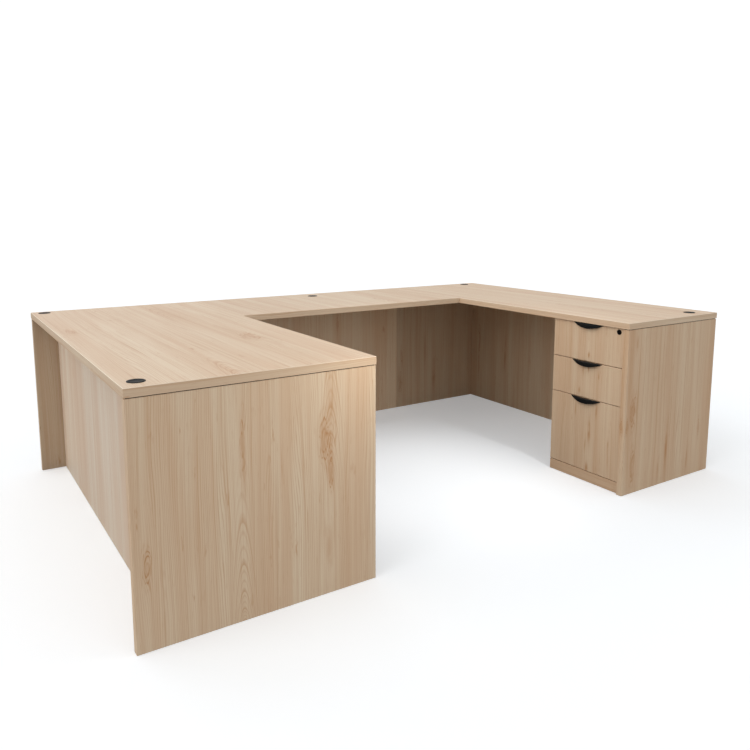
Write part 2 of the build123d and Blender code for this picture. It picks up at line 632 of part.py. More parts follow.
# Cable outlets: a flanged liner in each hole, with a lift-out cap that rests on its ledge
BORE_RADIUS = OUTLET_RADIUS - LINER_WALL
RECESS_RADIUS = BORE_RADIUS + CAP_LEDGE
with BuildPart() as liners:
    tops = facing(UP, [(*place, WORK_HEIGHT) for place in OUTLETS.values()])
    rods(tops, OUTLET_RADIUS + LINER_FLANGE_WIDTH, 0, LINER_FLANGE)
    fillet(liners.faces().filter_by(Plane.XY).group_by(Axis.Z)[-1].edges(), LINER_FLANGE / 2)
    rods(tops, OUTLET_RADIUS, TOP_THICKNESS - LINER_TAIL)
    lids = [plane.offset(LINER_FLANGE) for plane in tops]
    drill(lids, BORE_RADIUS, LINER_FLANGE + TOP_THICKNESS)
    drill(lids, RECESS_RADIUS, CAP_THICKNESS)
save(liners, "cable_outlet_liners")
SKIRT_RADIUS = BORE_RADIUS - CAP_CLEARANCE
for outlet, place in OUTLETS.items():
    lid = facing(UP, [(*place, WORK_HEIGHT + LINER_FLANGE)])
    with BuildPart() as cap:
        rods(lid, RECESS_RADIUS - CAP_CLEARANCE, CAP_THICKNESS)
        rods(lid, SKIRT_RADIUS, CAP_THICKNESS + CAP_SKIRT)
        underside = [Plane(origin=lid[0].offset(-CAP_THICKNESS - CAP_SKIRT).origin, z_dir=DOWN)]
        drill(underside, SKIRT_RADIUS - CAP_SKIRT_WALL, CAP_SKIRT)
    save(cap, f"{outlet}_outlet_cap")

# Steel fixings under the tops
with BuildPart() as brackets:
    for way, places in BRACKETS.values():
        for x, y in places:
            along = (way[1], -way[0], 0)
            with BuildSketch(Plane(origin=(x, y, UNDERSIDE), x_dir=way, z_dir=along)):
                with BuildLine():
                    Polyline(
                        (0, 0),
                        (BRACKET_LEG, 0),
                        (BRACKET_LEG, -BRACKET_STEEL),
                        (BRACKET_STEEL, -BRACKET_STEEL),
                        (BRACKET_STEEL, -BRACKET_LEG),
                        (0, -BRACKET_LEG),
                        close=True,
                    )
                make_face()
            extrude(amount=BRACKET_WIDTH / 2, both=True)
    leg_holes = facing(DOWN, [(*p, UNDERSIDE - BRACKET_STEEL) for p in up_screws])
    wall_holes = [plane.offset(BRACKET_STEEL) for planes in panel_screws.values() for plane in planes]
    drill(leg_holes + wall_holes, SCREW_RADIUS + SCREW_CLEARANCE, BRACKET_STEEL)
save(brackets, "angle_brackets")
with BuildPart() as plates:
    for x, y in PLATES:
        block(
            (x - PLATE_LENGTH / 2, x + PLATE_LENGTH / 2),
            (y - PLATE_WIDTH / 2, y + PLATE_WIDTH / 2),
            (UNDERSIDE - PLATE_STEEL, UNDERSIDE),
        )
    plate_holes = facing(DOWN, [(*p, UNDERSIDE - PLATE_STEEL) for p in plate_screws])
    drill(plate_holes, SCREW_RADIUS + SCREW_CLEARANCE, PLATE_STEEL)
save(plates, "joining_plates")


def wood_screws(planes, steel, grip):
    """Shanks through the steel into the board, with round heads on the steel."""
    rods(planes, SCREW_RADIUS, grip, steel)
    rods([plane.offset(steel) for plane in planes], SCREW_HEAD_RADIUS, 0, SCREW_HEAD)


with BuildPart() as screws:
    wood_screws(facing(DOWN, [(*p, UNDERSIDE) for p in up_screws]), BRACKET_STEEL, SCREW_IN_TOP)
    wood_screws(facing(DOWN, [(*p, UNDERSIDE) for p in plate_screws]), PLATE_STEEL, SCREW_IN_TOP)
    for planes in panel_screws.values():
        wood_screws(planes, BRACKET_STEEL, SCREW_IN_PANEL)
save(screws, "wood_screws")

# Knock-down fixings of the modesty panel, and the dowels
with BuildPart() as bolt_set:
    for planes in bolts.values():
        rods(planes, BOLT_RADIUS, CAM_FITTING_INSET, BOLT_IN_PANEL)
save(bolt_set, "cam_bolts")
with BuildPart() as fitting_set:
    rods(cam_fittings, CAM_FITTING_RADIUS, CAM_FITTING_DEPTH)
    for planes in bolts.values():
        drill(planes, BOLT_RADIUS, CAM_FITTING_INSET + BOLT_CLEARANCE)
save(fitting_set, "cam_fittings")
with BuildPart() as dowel_set:
    for planes in dowels.values():
        rods(planes, DOWEL_RADIUS, DOWEL_DEPTH, DOWEL_DEPTH)
    for planes in carcass_dowels.values():
        rods(planes, DOWEL_RADIUS, DOWEL_DEPTH, DOWEL_DEPTH_THIN)
save(dowel_set, "dowels")
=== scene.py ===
import math

import bmesh
import bpy
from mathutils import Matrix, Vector


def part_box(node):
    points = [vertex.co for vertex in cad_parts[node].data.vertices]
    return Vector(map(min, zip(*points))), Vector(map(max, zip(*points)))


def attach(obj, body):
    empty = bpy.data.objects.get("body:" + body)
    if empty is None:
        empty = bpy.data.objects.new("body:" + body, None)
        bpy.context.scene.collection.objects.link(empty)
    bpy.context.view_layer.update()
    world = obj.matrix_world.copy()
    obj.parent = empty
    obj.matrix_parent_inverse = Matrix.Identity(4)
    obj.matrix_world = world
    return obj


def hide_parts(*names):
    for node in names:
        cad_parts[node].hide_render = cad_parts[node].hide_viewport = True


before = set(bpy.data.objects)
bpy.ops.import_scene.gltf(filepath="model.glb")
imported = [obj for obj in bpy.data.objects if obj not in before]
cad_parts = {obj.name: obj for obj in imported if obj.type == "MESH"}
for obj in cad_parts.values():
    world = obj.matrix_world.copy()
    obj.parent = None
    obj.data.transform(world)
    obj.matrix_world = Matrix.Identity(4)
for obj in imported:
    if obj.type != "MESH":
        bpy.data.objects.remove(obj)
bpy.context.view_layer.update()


# The studio: a white floor that runs out of sight and takes soft shadows, and even light from all
# round. Three broad weak lamps add shape from the near side, the left and the far side, a small
# warm one lifts the top corner of the near end panel, and a soft beam the floor inside the U.
WHITE = (1, 1, 1, 1)
BLACK = (0, 0, 0, 1)
FLOOR_REACH = 60.0
FLOOR_DROP = 0.0006
FLOOR_SEEN = (0.84, 0.86, 0.88, 1)
FLOOR_BOUNCE = (0.27, 0.27, 0.27, 1)
FLOOR_HAZE = (0.246, 0.256, 0.264, 1)
BROAD_SPREAD = 60
BROAD_LAMPS = {
    "near_soft": (0.34, (0.0, 1.0, -0.5)),
    "left_soft": (1.07, (1.0, 0.0, -0.5)),
    "far_soft": (0.40, (0.2, -1.0, -0.8)),
}
GLOW_POWER = 0.75
GLOW_SIZE = 0.3
GLOW_COLOUR = (1.0, 0.93, 0.84)
GLOW_PLACE = (-0.50, -1.15, 0.84)
GLOW_AIM = (-0.59, -0.84, 0.66)
BEAM_POWER = 600
BEAM_SPREAD = 14
BEAM_SOFTNESS = 0.25
BEAM_PLACE = (0.12, -2.82, 6.5)
BEAM_AIM = (0.12, -0.22, 0.0)
AIR_LIGHT = 0.66
BACKDROP_LIGHT = 1.05
LENS = 33.804
LENS_SHIFT = -0.0785
EYE = (-1.7033, -2.6328, 1.1626)
EYE_DOWN = 8.13
EYE_TURN = 32.98


def join(tree, kind, wires=(), **settings):
    """One node: its settings by name, and its inputs, each a socket or a value."""
    node = tree.nodes.new(kind)
    for name, value in settings.items():
        setattr(node, name, value)
    for key, value in dict(wires).items():
        if isinstance(value, bpy.types.NodeSocket):
            tree.links.new(value, node.inputs[key])
        else:
            node.inputs[key].default_value = value
    return node


def mix(tree, share, first, second, blend="MIX"):
    wires = {0: share, 6: first, 7: second}
    return join(tree, "ShaderNodeMix", wires, data_type="RGBA", blend_type=blend).outputs[2]


def studio_floor():
    bm = bmesh.new()
    bmesh.ops.create_grid(bm, x_segments=1, y_segments=1, size=FLOOR_REACH)
    mesh = bpy.data.meshes.new("studio_floor")
    bm.to_mesh(mesh)
    bm.free()
    floor = bpy.data.objects.new("studio_floor", mesh)
    floor.location = (0, 0, -FLOOR_DROP)
    bpy.context.scene.collection.objects.link(floor)
    white = bpy.data.materials.new("studio_white")
    white.use_nodes = True
    tree = white.node_tree
    paint = tree.nodes["Principled BSDF"]
    paint.inputs["Roughness"].default_value = 0.9
    paint.inputs["Specular IOR Level"].default_value = 0.0
    looked_at = join(tree, "ShaderNodeLightPath").outputs["Is Camera Ray"]
    tree.links.new(mix(tree, looked_at, FLOOR_BOUNCE, FLOOR_SEEN), paint.inputs["Base Color"])
    tree.links.new(mix(tree, looked_at, BLACK, FLOOR_HAZE), paint.inputs["Emission Color"])
    paint.inputs["Emission Strength"].default_value = 1.0
    mesh.materials.append(white)


def hang_lamp(name, kind, power, place, aim):
    lamp = bpy.data.lights.new(name, kind)
    lamp.energy = power
    holder = bpy.data.objects.new(name, lamp)
    holder.location = place
    toward = Vector(aim) - Vector(place)
    holder.rotation_euler = toward.to_track_quat("-Z", "Y").to_euler()
    bpy.context.scene.collection.objects.link(holder)
    return holder


def pale_room():
    """A room that lights the desk evenly and is a shade brighter to look at."""
    world = bpy.data.worlds.new("pale_room")
    bpy.context.scene.world = world
    world.use_nodes = True
    tree = world.node_tree
    air = tree.nodes["Background"]
    air.inputs["Color"].default_value = WHITE
    air.inputs["Strength"].default_value = AIR_LIGHT
    backdrop = join(tree, "ShaderNodeBackground", {"Color": WHITE, "Strength": BACKDROP_LIGHT})
    looked_at = join(tree, "ShaderNodeLightPath").outputs["Is Camera Ray"]
    either = join(tree, "ShaderNodeMixShader", {0: looked_at, 1: air.outputs[0], 2: backdrop.outputs[0]})
    tree.links.new(either.outputs["Shader"], tree.nodes["World Output"].inputs["Surface"])


def set_camera():
    lens = bpy.data.cameras.new("photographer")
    lens.sensor_width = 36.0
    lens.lens = LENS
    lens.shift_y = LENS_SHIFT
    camera = bpy.data.objects.new("photographer", lens)
    camera.location = EYE
    camera.rotation_euler = (math.radians(90 - EYE_DOWN), 0, math.radians(-EYE_TURN))
    bpy.context.scene.collection.objects.link(camera)
    bpy.context.scene.camera = camera


studio_floor()
for name, (power, direction) in BROAD_LAMPS.items():
    broad = hang_lamp(name, "SUN", power, (0, 0, 0), direction)
    broad.data.angle = math.radians(BROAD_SPREAD)
glow = hang_lamp("corner_glow", "AREA", GLOW_POWER, GLOW_PLACE, GLOW_AIM)
glow.data.size = GLOW_SIZE
glow.data.color = GLOW_COLOUR
glow.visible_glossy = False
beam = hang_lamp("middle_beam", "SPOT", BEAM_POWER, BEAM_PLACE, BEAM_AIM)
beam.data.spot_size = math.radians(BEAM_SPREAD)
beam.data.spot_blend = 1.0
beam.data.shadow_soft_size = BEAM_SOFTNESS
beam.visible_glossy = False
pale_room()
bpy.context.scene.view_settings.view_transform = "Standard"
set_camera()


# Worktops: particle board under a printed maple laminate whose grain runs the length of the desk,
# with a plastic strip of a finer-lined print ironed round the edges. A paler line along the strip's
# top arris is a painted highlight. The upright boards below are rebated under the tops, and their
# top few millimetres above the rebate's shoulder are painted near black as painted shade in the gap.
PALE = (0.775, 0.622, 0.452, 1)
ROSY = (0.700, 0.500, 0.335, 1)
LINE = (0.560, 0.325, 0.170, 1)
FLAME = (0.500, 0.235, 0.090, 1)
PAINTED_GAP_SHADE = (0.020, 0.014, 0.010, 1)
ARRIS_HIGHLIGHT_COLOUR = (0.930, 0.800, 0.640, 1)


def corners(node):
    """A node's lowest and highest corners, to a tenth of a millimetre."""
    return [tuple(round(value, 4) for value in corner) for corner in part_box(node)]


WORK_HEIGHT = corners("desk_top")[1][2]
STRIP_START = corners("desk_top")[1][1]
REBATE_START = corners("upper_drawer_front")[1][2] + 0.0001

# Layers of the print: an offset to the seed, marks per metre across and along the grain, then how
# much smaller detail there is in a mark, and how strong that is.
BANDS = (0.0, 7, 0.7, 2.0, 0.5)
NARROW_BANDS = (20.2, 24, 0.6, 2.0, 0.5)
RIPPLE = (5.5, 40, 9.0, 3.0, 0.5)
HAIR = (7.7, 330, 2.0, 1.0, 0.5)
FLECKS = (12.3, 300, 22.0, 0.0, 0.5)
PATCHES = (9.1, 16, 1.2, 2.0, 0.5)
SCRAPS = (15.7, 48, 9.0, 3.0, 0.6)
DRAWN_LINES = (3.1, 95, 0.9, 4.0, 0.62)
FINELY_DRAWN_LINES = (3.1, 120, 0.9, 4.0, 0.62)

# Washes: where a layer's value starts and stops taking the wash, the wash's strength and colour.
DARK_LINES = (0.50, 0.78, 0.56, LINE)
LIGHT_LINES = (0.45, 0.25, 0.35, PALE)
YEAR_LINES = (0.26, 0.46, 0.46, LINE)
HAIR_LINES = (0.48, 0.74, 0.28, LINE)
PORES = (0.70, 0.80, 0.22, LINE)
TORN_SCRAPS = (0.64, 0.76, 0.55, FLAME)
# The last wash is a painted highlight along the edge strip's top arris.
PAINTED_ARRIS_HIGHLIGHT = (WORK_HEIGHT - 0.0022, WORK_HEIGHT - 0.0006, 0.7, ARRIS_HIGHLIGHT_COLOUR)

# The rest of the figure: how far the lines sway aside, how the tint is shared, the spans over
# which a layer comes in, the year lines to a metre, and the hair lines' hold on the gloss.
BAND_SWAY = 0.05
RIPPLE_SWAY = 0.003
BAND_TINT = 0.45
NARROW_TINT = 0.55
ROSY_SPAN = (0.36, 0.66)
PATCH_SPAN = (0.34, 0.60)
TORN_SPAN = (0.40, 0.60)
YEARS_PER_METRE = 190.0
YEARS_IN_A_BAND = 9.0
YEARS_IN_A_LINE = 1.6
HAIR_ROUGHNESS = 0.12
HAIR_RELIEF = 0.06
HAIR_DEPTH = 0.0004


def calc(tree, operation, *values):
    return join(tree, "ShaderNodeMath", enumerate(values), operation=operation).outputs[0]


def product(tree, first, *others):
    """Several values multiplied together."""
    for other in others:
        first = calc(tree, "MULTIPLY", first, other)
    return first


def between(tree, value, low, high):
    """0 at low, 1 at high and a smooth change between them."""
    wires = {"Value": value, "From Min": low, "From Max": high}
    return join(tree, "ShaderNodeMapRange", wires, interpolation_type="SMOOTHSTEP").outputs[0]


def streaks(tree, across, along, seed, layer):
    """Noise drawn out along the grain, as its layer says."""
    offset, wide, long, detail, rough = layer
    wires = {"X": product(tree, across, wide), "Y": product(tree, along, long), "Z": seed + offset}
    place = join(tree, "ShaderNodeCombineXYZ", wires).outputs[0]
    wires = {"Vector": place, "Scale": 1.0, "Detail": detail, "Roughness": rough}
    return join(tree, "ShaderNodeTexNoise", wires).outputs["Fac"]


def sway(tree, value, noise, reach):
    """The value, carried to and fro by noise within the reach."""
    return calc(tree, "ADD", value, product(tree, calc(tree, "SUBTRACT", noise, 0.5), reach))


def mound(tree, across, along, centre, size):
    """1 at the centre, falling away to nothing over the size each way."""
    aside = calc(tree, "DIVIDE", calc(tree, "SUBTRACT", across, centre[0]), size[0])
    ahead = calc(tree, "DIVIDE", calc(tree, "SUBTRACT", along, centre[1]), size[1])
    far = calc(tree, "ADD", product(tree, aside, aside), product(tree, ahead, ahead))
    return calc(tree, "EXPONENT", product(tree, far, -1.0))


def wash(tree, colour, value, strengths, where=1.0):
    """Lay a wash over the colour by the value of a layer, and only where it is wanted."""
    start, stop, strength, paint = strengths
    share = product(tree, between(tree, value, start, stop), where, strength)
    return mix(tree, share, colour, paint)


def grain_lines(tree, place, grain, face):
    """Distances along and across the grain. Edge print turns the corner with its strip."""
    axis = join(tree, "ShaderNodeSeparateXYZ", {0: place}).outputs
    if grain == "edge":
        end = calc(tree, "GREATER_THAN", calc(tree, "ABSOLUTE", axis[1]), STRIP_START)
        along = join(tree, "ShaderNodeMix", {0: end, 2: axis[1], 3: axis[0]}).outputs[0]
    else:
        along = axis["XYZ".index(grain)]
    whole = calc(tree, "ADD", calc(tree, "ADD", axis[0], axis[1]), axis[2])
    across = calc(tree, "SUBTRACT", calc(tree, "SUBTRACT", whole, along), face)
    return along, across, axis[2]


def year_comb(tree, growth, bands, lines):
    """Even year lines, crowded and spread by the bands and roughened by the drawn lines."""
    even = product(tree, growth, YEARS_PER_METRE)
    crowded = calc(tree, "ADD", even, product(tree, bands, YEARS_IN_A_BAND))
    rough = calc(tree, "ADD", crowded, product(tree, lines, YEARS_IN_A_LINE))
    return calc(tree, "PINGPONG", rough, 0.5)


ARCH_BOW = 130.0
ARCH_STEP = 1.55            # each arch is this much further from the foot than the last
ARCH_START = 0.37
FINE_ARCHES = 3.0           # to each bold one
BOLD_EDGE = (0.0, 0.05)     # shares of a step
BOLD_FADE = (0.26, 0.05)
FINE_SPAN = (0.24, 0.48)
FINE_SHARE = 0.5
NEST_SIDES = (0.075, 0.025)  # metres from its middle line, then metres from its foot
NEST_FOOT = (0.03, 0.07)
NEST_END = (0.62, 0.30)
ARCH_STRENGTH = 0.45


def arch_nest(tree, colour, bent, along, arch):
    """Arches one inside another that close on a foot, each a bold rim with finer ones between."""
    centre, foot, way = arch
    aside = calc(tree, "SUBTRACT", bent, centre)
    bow = product(tree, aside, aside, ARCH_BOW)
    rise = product(tree, calc(tree, "SUBTRACT", along, foot), way)
    height = calc(tree, "MAXIMUM", calc(tree, "ADD", rise, bow), 0.001)
    level = calc(tree, "ADD", calc(tree, "LOGARITHM", height, ARCH_STEP), ARCH_START)
    step = calc(tree, "FRACT", level)
    bold = product(tree, between(tree, step, *BOLD_EDGE), between(tree, step, *BOLD_FADE))
    fine_step = calc(tree, "PINGPONG", product(tree, level, FINE_ARCHES), 0.5)
    fine = product(tree, between(tree, fine_step, *FINE_SPAN), FINE_SHARE)
    rim = calc(tree, "MAXIMUM", bold, fine)
    inside = between(tree, calc(tree, "ABSOLUTE", aside), *NEST_SIDES)
    past_foot = between(tree, height, *NEST_FOOT)
    short_of_end = between(tree, height, *NEST_END)
    mark = product(tree, rim, inside, product(tree, past_foot, short_of_end))
    return mix(tree, product(tree, mark, ARCH_STRENGTH), colour, FLAME)


KNOT_PUSH = 1.5             # how far the lines swing round a knot, in its own half widths
KNOT_TEAR = (2.6, 1.4)      # how ragged it is across and along, in its own sizes
KNOT_RINGS = 3.2
RING_SPAN = (0.22, 0.46)
KNOT_RIM = (0.06, 0.40)
KNOT_HAIR = (0.34, 0.62)
KNOT_STRENGTH = 0.80
KNOT_CORE = 0.75
FLAME_TEAR = (0.34, 0.60)


def knot_mark(tree, colour, bent, along, ripple, hair, knot):
    """Torn rings round a knot, and the darker wood in its middle."""
    centre, size = knot
    aside = sway(tree, bent, ripple, KNOT_TEAR[0] * size[0])
    ahead = sway(tree, along, ripple, KNOT_TEAR[1] * size[1])
    near = mound(tree, aside, ahead, centre, size)
    step = calc(tree, "PINGPONG", product(tree, near, KNOT_RINGS), 0.5)
    ring = product(tree, between(tree, step, *RING_SPAN), between(tree, near, *KNOT_RIM))
    patch = product(tree, ring, between(tree, hair, *KNOT_HAIR))
    colour = mix(tree, product(tree, patch, KNOT_STRENGTH), colour, FLAME)
    core = product(tree, near, product(tree, ripple, KNOT_CORE))
    return mix(tree, core, colour, FLAME)


def flame_mark(tree, colour, bent, along, ripple, flame):
    """A ragged reddish streak."""
    centre, size, depth = flame
    near = mound(tree, bent, along, centre, size)
    ragged = product(tree, near, between(tree, ripple, *FLAME_TEAR))
    return mix(tree, product(tree, ragged, depth), colour, FLAME)


def maple(
    name,
    grain,
    seed,
    knots=(),
    flames=(),
    arches=(),
    face=0.0,
    tone=(1, 1, 1),
    lines=DRAWN_LINES,
    rough=0.40,
    shine=0.40,
):
    """A printed maple figure. grain is the axis it runs along. knots and flames are places across
    and along the grain, with their sizes, and a flame has its depth of colour too. arches are a
    place across, the height that the nest closes on, and which way it points. face is the visible
    face's third coordinate, and lines is the layer of drawn lines."""
    paint = bpy.data.materials.new(name)
    paint.use_nodes = True
    tree = paint.node_tree
    place = join(tree, "ShaderNodeTexCoord").outputs["Object"]
    along, across, height = grain_lines(tree, place, grain, face)
    bands = streaks(tree, across, along, seed, BANDS)
    ripple = streaks(tree, across, along, seed, RIPPLE)
    bent = sway(tree, sway(tree, across, bands, BAND_SWAY), ripple, RIPPLE_SWAY)
    growth = bent
    for centre, size in knots:
        push = product(tree, mound(tree, bent, along, centre, size), KNOT_PUSH * size[0])
        growth = calc(tree, "ADD", growth, push)
    drawn = streaks(tree, growth, along, seed, lines)
    hair = streaks(tree, growth, along, seed, HAIR)
    narrow = streaks(tree, across, along, seed, NARROW_BANDS)
    tint = calc(tree, "ADD", product(tree, bands, BAND_TINT), product(tree, narrow, NARROW_TINT))
    colour = mix(tree, between(tree, tint, *ROSY_SPAN), PALE, ROSY)
    colour = wash(tree, colour, drawn, DARK_LINES)
    colour = wash(tree, colour, drawn, LIGHT_LINES)
    patches = between(tree, streaks(tree, across, along, seed, PATCHES), *PATCH_SPAN)
    colour = wash(tree, colour, year_comb(tree, growth, bands, drawn), YEAR_LINES, patches)
    colour = wash(tree, colour, hair, HAIR_LINES)
    colour = wash(tree, colour, streaks(tree, growth, along, seed, FLECKS), PORES)
    torn = between(tree, ripple, *TORN_SPAN)
    colour = wash(tree, colour, streaks(tree, bent, along, seed, SCRAPS), TORN_SCRAPS, torn)
    for arch in arches:
        colour = arch_nest(tree, colour, bent, along, arch)
    for knot in knots:
        colour = knot_mark(tree, colour, bent, along, ripple, hair, knot)
    for flame in flames:
        colour = flame_mark(tree, colour, bent, along, ripple, flame)
    colour = mix(tree, 1.0, colour, (*tone, 1), "MULTIPLY")
    # Above the rebate's shoulder an upright board is painted near black: painted shade in the gap under
    # the tops.
    if grain == "Z":
        colour = mix(tree, calc(tree, "GREATER_THAN", height, REBATE_START), colour, PAINTED_GAP_SHADE)
    # A paler line along the top arris of the edge strip: a painted highlight.
    if grain == "edge":
        colour = wash(tree, colour, height, PAINTED_ARRIS_HIGHLIGHT)
    skin = tree.nodes["Principled BSDF"]
    tree.links.new(colour, skin.inputs["Base Color"])
    sheen = calc(tree, "ADD", product(tree, hair, HAIR_ROUGHNESS), rough - HAIR_ROUGHNESS / 2)
    tree.links.new(sheen, skin.inputs["Roughness"])
    skin.inputs["Specular IOR Level"].default_value = shine
    wires = {"Height": hair, "Strength": HAIR_RELIEF, "Distance": HAIR_DEPTH}
    tree.links.new(join(tree, "ShaderNodeBump", wires).outputs[0], skin.inputs["Normal"])
    return paint


def finish_node(node, paint):
    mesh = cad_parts[node].data
    mesh.materials.clear()
    mesh.materials.append(paint)


desk_top_maple = maple(
    "desk_top_maple",
    "Y",
    2.0,
    knots=[((-1.242, 0.161), (0.020, 0.060)), ((-0.718, -0.276), (0.026, 0.075))],
    flames=[
        ((-0.73, -0.10), (0.016, 0.16), 0.30),
        ((-0.69, -0.42), (0.014, 0.13), 0.30),
        ((-1.02, 0.40), (0.010, 0.12), 0.22),
        ((-0.86, 0.05), (0.006, 0.09), 0.30),
        ((-1.10, 0.02), (0.007, 0.10), 0.26),
        ((-0.95, -0.40), (0.006, 0.10), 0.28),
        ((-0.60, 0.25), (0.010, 0.18), 0.24),
    ],
    arches=[(-0.982, -1.02, 1), (-0.80, 0.30, 1)],
    face=WORK_HEIGHT,
    tone=(1.025, 1.02, 1.01),
)
bridge_top_maple = maple("bridge_top_maple", "Y", 7.3, arches=[(0.30, 0.10, 1)], face=WORK_HEIGHT)
credenza_top_maple = maple(
    "credenza_top_maple",
    "Y",
    12.6,
    flames=[((1.00, -0.10), (0.010, 0.20), 0.30), ((0.83, 0.30), (0.008, 0.15), 0.25)],
    arches=[(0.93, -0.60, 1)],
    face=WORK_HEIGHT,
)
finish_node("desk_top", desk_top_maple)
finish_node("bridge_top", bridge_top_maple)
finish_node("credenza_top", credenza_top_maple)
finish_node("desk_top_edging", maple("desk_top_edge", "edge", 31.0, lines=FINELY_DRAWN_LINES))
finish_node("bridge_top_edging", maple("bridge_top_edge", "X", 32.0, lines=FINELY_DRAWN_LINES))
finish_node("credenza_top_edging", maple("credenza_top_edge", "edge", 33.0, lines=FINELY_DRAWN_LINES))


# End panels and backs: particle board in the same maple print, its grain upright, with the broad
# arches and knots that come out where the print was laid over the wider boards. On two of the
# boards the inner face is painted: darker on the desk's far end panel as painted shade, lighter on
# the bridge back as painted light.
NEAR_FACE = corners("desk_near_end_panel")[0][1]
FAR_INNER_FACE = corners("desk_far_end_panel")[0][1]
CREDENZA_BACK_FACE = corners("credenza_back_panel")[0][0]


def painted_inner_face_light(paint, inner_face, shade):
    """The inner face's colour scaled by shade: painted shade where shade is below 1, painted light where
    it is above 1.
    """
    tree = paint.node_tree
    skin = tree.nodes["Principled BSDF"]
    colour = skin.inputs["Base Color"].links[0].from_socket
    place = join(tree, "ShaderNodeTexCoord").outputs["Object"]
    inward = join(tree, "ShaderNodeSeparateXYZ", {0: place}).outputs[1]
    within = calc(tree, "LESS_THAN", inward, inner_face + 0.0005)
    other = mix(tree, 1.0, colour, (shade, shade, shade, 1), "MULTIPLY")
    tree.links.new(mix(tree, within, colour, other), skin.inputs["Base Color"])


desk_near_end_maple = maple(
    "desk_near_end_maple",
    "Z",
    50.0,
    knots=[
        ((-0.716, 0.502), (0.024, 0.070)),
        ((-0.693, 0.400), (0.012, 0.060)),
        ((-0.977, 0.530), (0.009, 0.085)),
        ((-1.257, 0.235), (0.009, 0.050)),
    ],
    flames=[
        ((-0.705, 0.150), (0.022, 0.150), 0.30),
        ((-0.690, 0.600), (0.016, 0.070), 0.30),
        ((-0.785, 0.250), (0.0014, 0.230), 0.55),
        ((-0.975, 0.470), (0.004, 0.070), 0.45),
        ((-0.860, 0.440), (0.003, 0.050), 0.40),
        ((-1.215, 0.150), (0.006, 0.140), 0.28),
    ],
    arches=[(-0.985, -0.06, 1), (-0.693, 0.36, 1)],
    face=NEAR_FACE,
    tone=(1.06, 1.07, 1.07),
)
credenza_near_end_maple = maple(
    "credenza_near_end_maple",
    "Z",
    61.0,
    knots=[
        ((0.741, 0.360), (0.013, 0.070)),
        ((0.709, 0.296), (0.008, 0.026)),
        ((0.748, 0.110), (0.012, 0.075)),
        ((0.744, 0.640), (0.008, 0.035)),
        ((1.214, 0.211), (0.006, 0.050)),
    ],
    flames=[
        ((0.981, 0.156), (0.009, 0.085), 0.75),
        ((0.985, 0.340), (0.006, 0.060), 0.55),
        ((0.930, 0.080), (0.008, 0.070), 0.45),
        ((1.062, 0.588), (0.004, 0.045), 0.55),
        ((1.132, 0.075), (0.006, 0.050), 0.50),
    ],
    face=NEAR_FACE,
    tone=(1.0, 0.975, 0.945),
)
credenza_far_end_maple = maple(
    "credenza_far_end_maple",
    "Z",
    64.0,
    knots=[((0.712, 0.150), (0.015, 0.075)), ((0.724, 0.310), (0.011, 0.060))],
    flames=[((0.975, 0.186), (0.010, 0.110), 0.75), ((0.902, 0.334), (0.006, 0.090), 0.50)],
    face=FAR_INNER_FACE,
)
desk_far_end_maple = maple("desk_far_end_maple", "Z", 53.7, face=FAR_INNER_FACE)
# The inner face of the desk's far end panel is painted darker: painted shade.
painted_inner_face_light(desk_far_end_maple, FAR_INNER_FACE, shade=0.75)
# The modesty panel's tone whitens and cools the print as a painted reflection of the pale room at a
# grazing angle.
desk_modesty_reflection_maple = maple(
    "desk_modesty_reflection_maple", "Z", 57.4, tone=(1.14, 1.23, 1.38), rough=0.34, shine=0.6
)
bridge_back_maple = maple(
    "bridge_back_maple",
    "Z",
    68.0,
    knots=[((-0.19, 0.42), (0.010, 0.060)), ((0.28, 0.55), (0.008, 0.045))],
    face=FAR_INNER_FACE,
)
# The inner face of the bridge back is painted lighter: painted light.
painted_inner_face_light(bridge_back_maple, FAR_INNER_FACE, shade=1.30)
credenza_back_maple = maple(
    "credenza_back_maple",
    "Z",
    71.0,
    knots=[((0.738, 0.200), (0.010, 0.080)), ((0.730, 0.380), (0.009, 0.090))],
    flames=[((0.499, 0.314), (0.008, 0.120), 0.65), ((0.287, 0.319), (0.007, 0.110), 0.50)],
    face=CREDENZA_BACK_FACE,
)
finish_node("desk_near_end_panel", desk_near_end_maple)
finish_node("desk_far_end_panel", desk_far_end_maple)
finish_node("desk_modesty_panel", desk_modesty_reflection_maple)
finish_node("bridge_back_panel", bridge_back_maple)
finish_node("credenza_near_end_panel", credenza_near_end_maple)
finish_node("credenza_far_end_panel", credenza_far_end_maple)
finish_node("credenza_back_panel", credenza_back_maple)


# Pedestal: a maple box with three drawer fronts cut from one board, so that the print runs on
# from one to the next, and a plinth below them with the print laid on its side.
DRAWERS = ("upper", "middle", "file")
CARCASS_NODES = ("pedestal_near_side", "pedestal_far_side", "pedestal_bottom", "pedestal_top_rails")
DRAWER_FACE = corners("upper_drawer_front")[0][0]

carcass_maple = maple("carcass_maple", "Z", 83.0)
for node in CARCASS_NODES:
    finish_node(node, carcass_maple)
front_maple = maple(
    "drawer_front_maple",
    "Z",
    91.0,
    flames=[
        ((-0.622, 0.645), (0.005, 0.014), 0.75),
        ((-0.625, 0.567), (0.005, 0.014), 1.00),
        ((-0.628, 0.506), (0.004, 0.022), 0.80),
        ((-0.597, 0.492), (0.006, 0.016), 0.85),
        ((-0.583, 0.400), (0.005, 0.014), 0.80),
        ((-0.645, 0.235), (0.006, 0.055), 0.85),
        ((-0.640, 0.062), (0.007, 0.022), 0.80),
        ((-0.681, 0.329), (0.005, 0.030), 0.65),
        ((-0.568, 0.313), (0.004, 0.028), 0.60),
        ((-0.757, 0.176), (0.005, 0.070), 0.65),
        ((-0.627, 0.170), (0.004, 0.030), 0.60),
    ],
    tone=(0.98, 0.94, 0.90),
    face=DRAWER_FACE,
)
for drawer in DRAWERS:
    finish_node(f"{drawer}_drawer_front", front_maple)
finish_node("pedestal_plinth", maple("plinth_maple", "Y", 97.0, tone=(1.0, 0.97, 0.94)))


